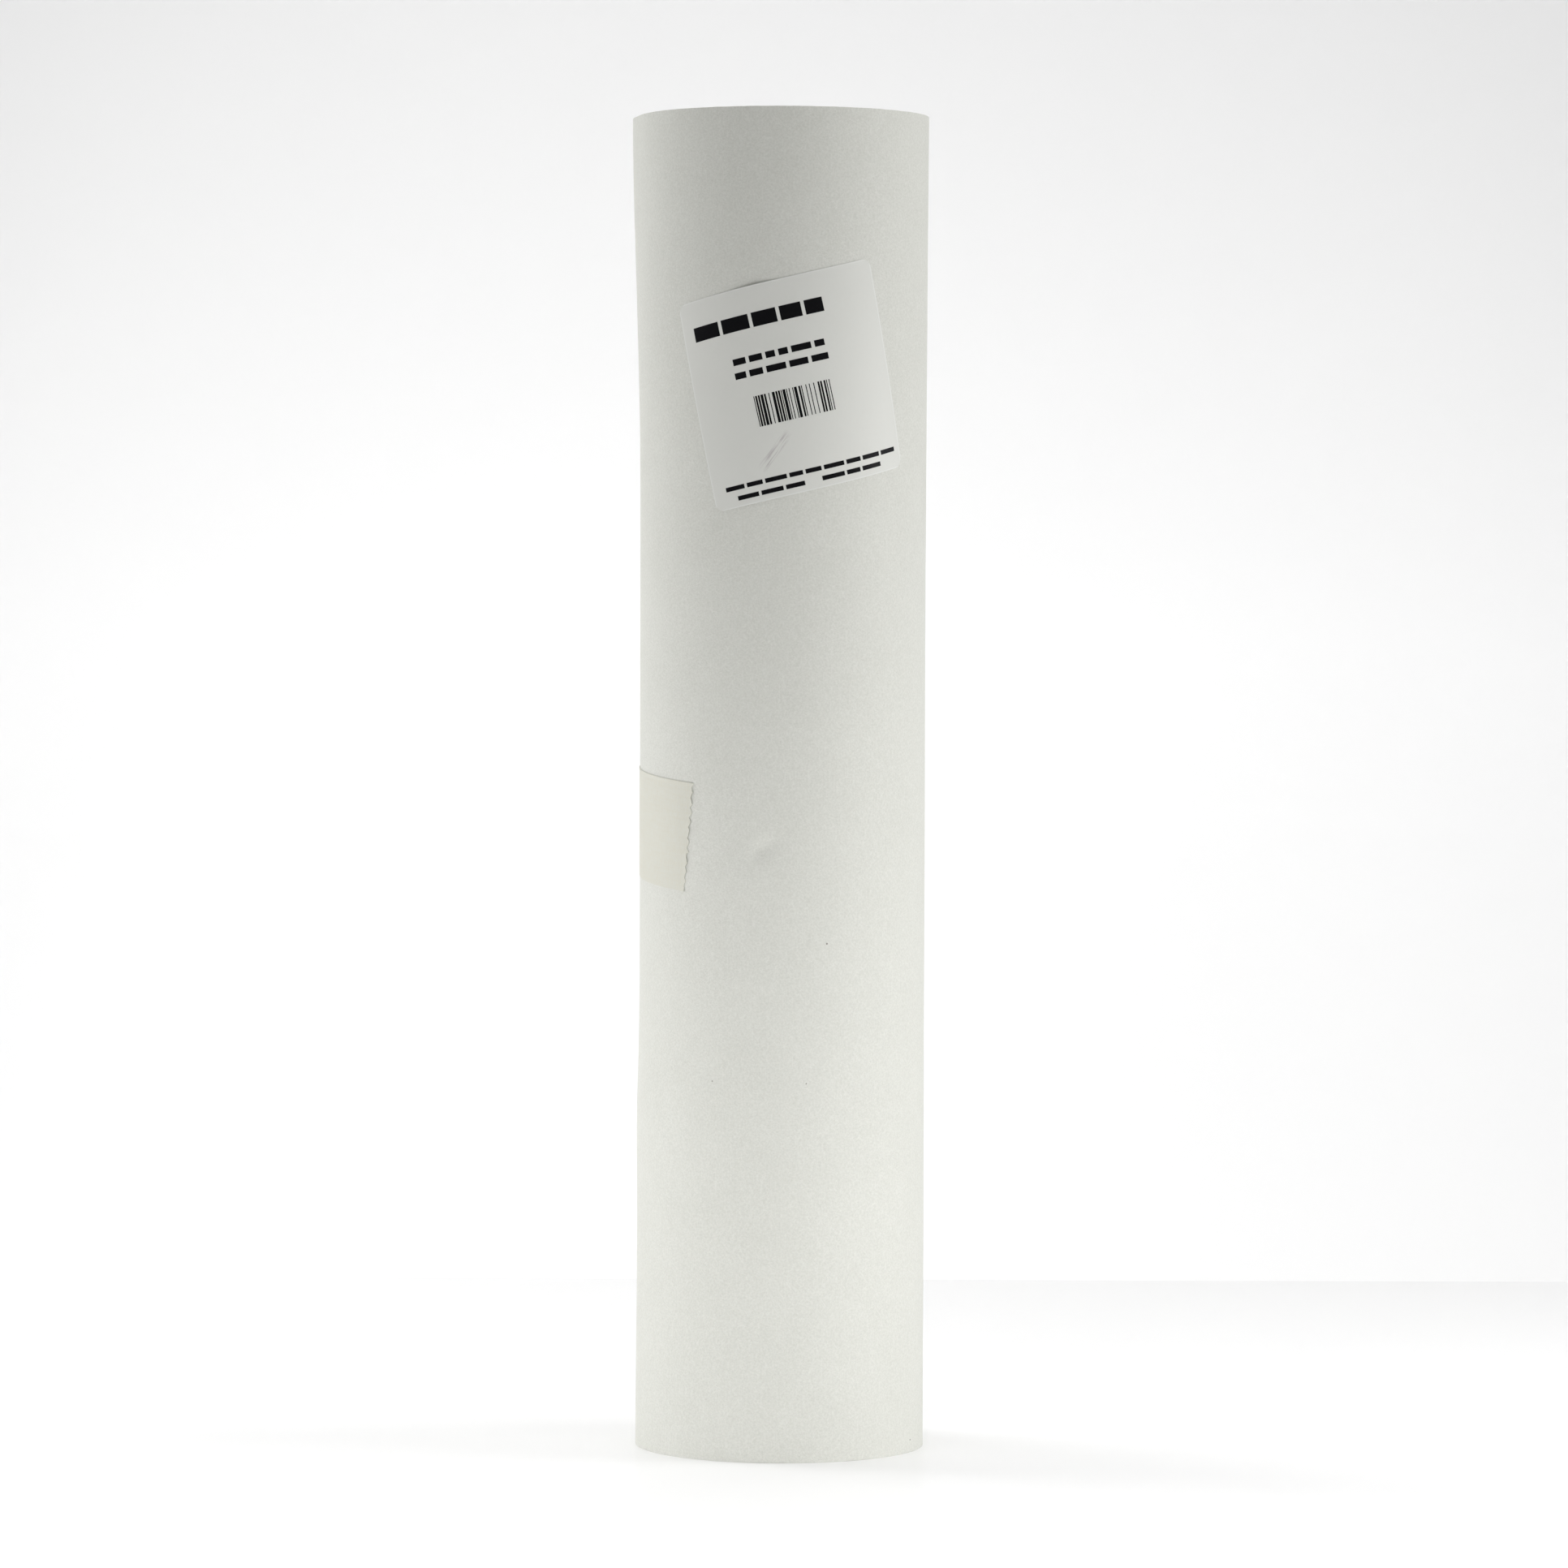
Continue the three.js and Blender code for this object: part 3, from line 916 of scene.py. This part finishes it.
def label_print():
    """The print as thin raised patches, each a small grid bent with the label."""
    label = bpy.context.scene.roll_label
    paper = GLUE_GAP + label.thickness
    patches = []
    for left, right, low, high in print_bars():
        columns = 2 + int((right - left) / 1.5)
        rows = 2 + int((high - low) / 1.5)
        u, v = np.meshgrid(np.linspace(left, right, columns) * MM, np.linspace(low, high, rows) * MM)
        patches.append(slab(on_label(u, v, paper + label.ink), on_label(u, v, paper - label.ink)))
    return joined(patches)


TAPE_ROWS, TAPE_COLUMNS = 117, 101


def tape_strip():
    """The tape as a thin closed sheet, from its torn end on the front to its torn end round the back.
    Both ends are triangle waves of the tooth's pitch with random tips. It lies on the outer turn, steps
    down past the free edge by one thickness over a few millimetres, is finely rippled, and lifts a
    little along its front end and its upper edge."""
    web = bpy.context.scene.roll_web
    end = bpy.context.scene.roll_free_end
    tape = bpy.context.scene.roll_tape
    random = np.random.default_rng(tape.seed)
    across = np.linspace(-0.5, 0.5, TAPE_ROWS)[:, None] * tape.width
    share = np.linspace(-1, 0, TAPE_COLUMNS)
    wave = 1 - np.abs(((across / tape.tooth) % 1) * 2 - 1)
    tips = np.linspace(-0.5, 0.5, 58) * tape.width
    torn = []
    for _ in range(2):
        rough = np.interp(across, tips, random.uniform(-1, 1, len(tips)))
        torn.append(tape.tooth_depth * (wave * (1 + 0.4 * rough) - 0.6) + 0.22 * MM * rough)
    along = share * tape.reach + torn[0] * smooth(1 + share * 12) - torn[1] * smooth(-share * 12 - 11)
    cos, sin = math.cos(tape.slope), -math.sin(tape.slope)
    angle = tape.angle + (along * cos - across * sin) / web.foot_radius
    height = tape.centre + along * sin + across * cos
    past = smooth((end.seam - angle) * web.foot_radius / (3 * MM))
    under = outer_turn_radius(np.maximum(angle, end.seam), height)
    under = under - TURN_PITCH * web.thickness * past
    ripple = wavering(along, seed=31, waves=18, amplitude=0.03 * MM, finest=3200)
    ripple = ripple * (0.7 + 0.3 * np.sin(across * 300))
    front_end = 0.3 * MM * smooth(1 + along / (3 * MM)) * (0.6 + 0.4 * np.sin(across * 420))
    upper_edge = 0.12 * MM * smooth((across - tape.width / 2) / (2 * MM) + 1)
    base = under + GLUE_GAP + np.maximum(ripple + front_end + upper_edge, 0)
    points, faces = slab(
        on_cylinder(angle, height, base + tape.thickness), on_cylinder(angle, height, base)
    )
    flat = np.stack(np.broadcast_arrays(along, across), -1).reshape(-1, 2)
    return points, faces, np.concatenate([flat, flat])


class ROLL_OT_wound_web(bpy.types.Operator):
    """Make the wound web with its turns showing on both ends, and the outer turn with its free end"""

    bl_idname = "roll.wound_web"
    bl_label = "Wound web"

    def execute(self, context):
        points, faces = wound_body()
        material = mat_material("Glass mat edge", sheet=False)
        mesh_piece("wound_web", points, faces, material, "mat_roll", sharp=40)
        points, faces, flat = outer_turn()
        material = mat_material("Glass mat", sheet=True)
        mesh_piece("outer_turn", points, faces, material, "mat_roll", flat)
        return {"FINISHED"}


class ROLL_OT_core_tube(bpy.types.Operator):
    """Make the cardboard tube in the bore"""

    bl_idname = "roll.core_tube"
    bl_label = "Cardboard tube"

    def execute(self, context):
        points, faces = core_tube()
        mesh_piece("cardboard_tube", points, faces, board_material(), "core_tube")
        return {"FINISHED"}


class ROLL_OT_label(bpy.types.Operator):
    """Make the paper label and its print"""

    bl_idname = "roll.label"
    bl_label = "Label"

    def execute(self, context):
        points, faces, flat = paper_label()
        mesh_piece("paper_label", points, faces, paper_material(), "label", flat)
        points, faces = label_print()
        mesh_piece("label_print", points, faces, ink_material(), None)
        return {"FINISHED"}


class ROLL_OT_tape(bpy.types.Operator):
    """Make the strip of masking tape"""

    bl_idname = "roll.tape"
    bl_label = "Masking tape"

    def execute(self, context):
        points, faces, flat = tape_strip()
        mesh_piece("tape_strip", points, faces, tape_material(), "tape", flat)
        return {"FINISHED"}


def stage_sheet(name, paint, y, z, half):
    """A smooth sheet of the stage: a profile of places behind the roll and heights, drawn out sideways
    by half its width to each side."""
    x = np.linspace(-half, half, 9)[:, None]
    sheet = np.stack(np.broadcast_arrays(x, y, z), -1)
    _, faces = quads(*sheet.shape[:2])
    material = stage_material(name, paint)
    piece = smooth_object(name, sheet.reshape(-1, 3), faces[:, ::-1], material)


# The table's front edge, and half the width of the table and of the backdrop, in metres
TABLE_FRONT, TABLE_HALF, BACKDROP_HALF = -0.8, 0.85, 1.2


def stage_sheets():
    """The level table top that the roll stands on, and behind and below its back edge a backdrop that
    bends up through a quarter circle and rises straight."""
    stage = bpy.context.scene.roll_stage
    y = np.array([TABLE_FRONT, 0.0, stage.table_back])
    stage_sheet("table_top", stage.table, y, np.zeros(3), TABLE_HALF)
    start, back, low, bend, high = 0.5, 1.9, -0.25, 0.6, 2.6
    quarter = np.linspace(0, math.pi / 2, 17)
    y = np.concatenate([[start], back - bend + bend * np.sin(quarter), [back]])
    z = np.concatenate([[low], low + bend - bend * np.cos(quarter), [high]])
    stage_sheet("backdrop", stage.backdrop, y, z, BACKDROP_HALF)


# Soft lights: name, place, the point it faces, width and height in metres, power in watts
SOFT_LIGHTS = (
    ("right_light", (1.5, -0.1, 0.78), (0, 0, 0.42), 0.9, 1.3, 11.5),
    ("left_back_light", (-1.3, 0.7, 0.8), (0, 0, 0.42), 0.9, 1.3, 10.0),
    ("overhead_light", (0, 0.1, 2.2), (0, 0.05, 0), 1.6, 1.6, 28.6),
    ("table_light", (0, -0.9, 1.15), (0, -0.6, 0), 1.6, 0.4, 4.0),
    ("backdrop_light", (-1.9, 0.75, 1.1), (-0.2, 1.9, 0.6), 0.6, 1.5, 7.0),
    ("backdrop_bounce", (0, 0.85, -0.1), (0, 1.9, 0.1), 3.0, 0.1, 9.4),
    ("front_bounce", (0, -0.5, 0.04), (0, 0, 0.07), 0.8, 0.06, 0.8),
    ("left_bounce", (-0.8, -0.2, 0.06), (0, 0, 0.1), 0.8, 0.1, 1.7),
    ("right_bounce", (0.8, -0.2, 0.06), (0, 0, 0.1), 0.8, 0.1, 1.35),
)


def soft_light(name, place, aim, wide, high, power):
    """A rectangular area light at a place that faces a point."""
    light = bpy.data.lights.new(name, "AREA")
    light.shape = "RECTANGLE"
    light.size, light.size_y, light.energy = wide, high, power
    lamp = bpy.data.objects.new(name, light)
    lamp.location = place
    lamp.rotation_euler = (Vector(aim) - Vector(place)).to_track_quat("-Z", "Y").to_euler()
    lamp.visible_camera = False
    bpy.context.scene.collection.objects.link(lamp)


class ROLL_OT_stage(bpy.types.Operator):
    """Set the floor, the lights, the even light of the room and the camera"""

    bl_idname = "roll.stage"
    bl_label = "Stage"

    def execute(self, context):
        scene = context.scene
        stage = scene.roll_stage
        stage_sheets()
        for name, place, aim, wide, high, power in SOFT_LIGHTS:
            soft_light(name, place, aim, wide, high, power * stage.brightness)
        world = bpy.data.worlds.new("room")
        world.use_nodes = True
        tree = world.node_tree
        seen = put(tree, "LightPath").outputs["Is Camera Ray"]
        strength = calc(tree, "MULTIPLY_ADD", seen, stage.surround - stage.room, stage.room)
        feed(tree, tree.nodes["Background"], {"Strength": strength, "Color": (1, 1, 1, 1)})
        scene.world = world
        scene.view_settings.view_transform = "Standard"
        camera = bpy.data.cameras.new("camera")
        camera.sensor_width = 36
        camera.lens = stage.lens
        camera.clip_end = 50
        holder = bpy.data.objects.new("camera", camera)
        holder.location = (stage.camera_side, -stage.distance, stage.camera_height)
        down = Euler((math.pi / 2 - stage.pitch, 0, 0)).to_matrix()
        holder.rotation_euler = (down @ Euler((0, 0, stage.lean)).to_matrix()).to_euler()
        scene.collection.objects.link(holder)
        scene.camera = holder
        return {"FINISHED"}


class ROLL_PT_panel(bpy.types.Panel):
    """The roll's sizes, finishes and makers in the 3D view's sidebar"""

    bl_idname = "ROLL_PT_panel"
    bl_label = "Mat Roll"
    bl_space_type = "VIEW_3D"
    bl_region_type = "UI"
    bl_category = "Mat Roll"

    def draw(self, context):
        for name in SETTINGS:
            box = self.layout.box()
            settings = getattr(context.scene, name)
            for field in settings.bl_rna.properties:
                if field.identifier not in {"rna_type", "name"}:
                    box.prop(settings, field.identifier)
        for operator in OPERATORS:
            self.layout.operator(operator.bl_idname)


OPERATORS = (ROLL_OT_stage, ROLL_OT_wound_web, ROLL_OT_core_tube, ROLL_OT_label, ROLL_OT_tape)
CLASSES = (*SETTINGS.values(), *OPERATORS, ROLL_PT_panel)


def register():
    for made in CLASSES:
        bpy.utils.register_class(made)
    for name, group in SETTINGS.items():
        setattr(bpy.types.Scene, name, PointerProperty(type=group))


def unregister():
    for name in SETTINGS:
        delattr(bpy.types.Scene, name)
    for made in reversed(CLASSES):
        bpy.utils.unregister_class(made)


def main():
    register()
    bpy.ops.roll.stage()
    bpy.ops.roll.wound_web()
    bpy.ops.roll.core_tube()
    bpy.ops.roll.label()
    bpy.ops.roll.tape()


if __name__ == "__main__":
    main()
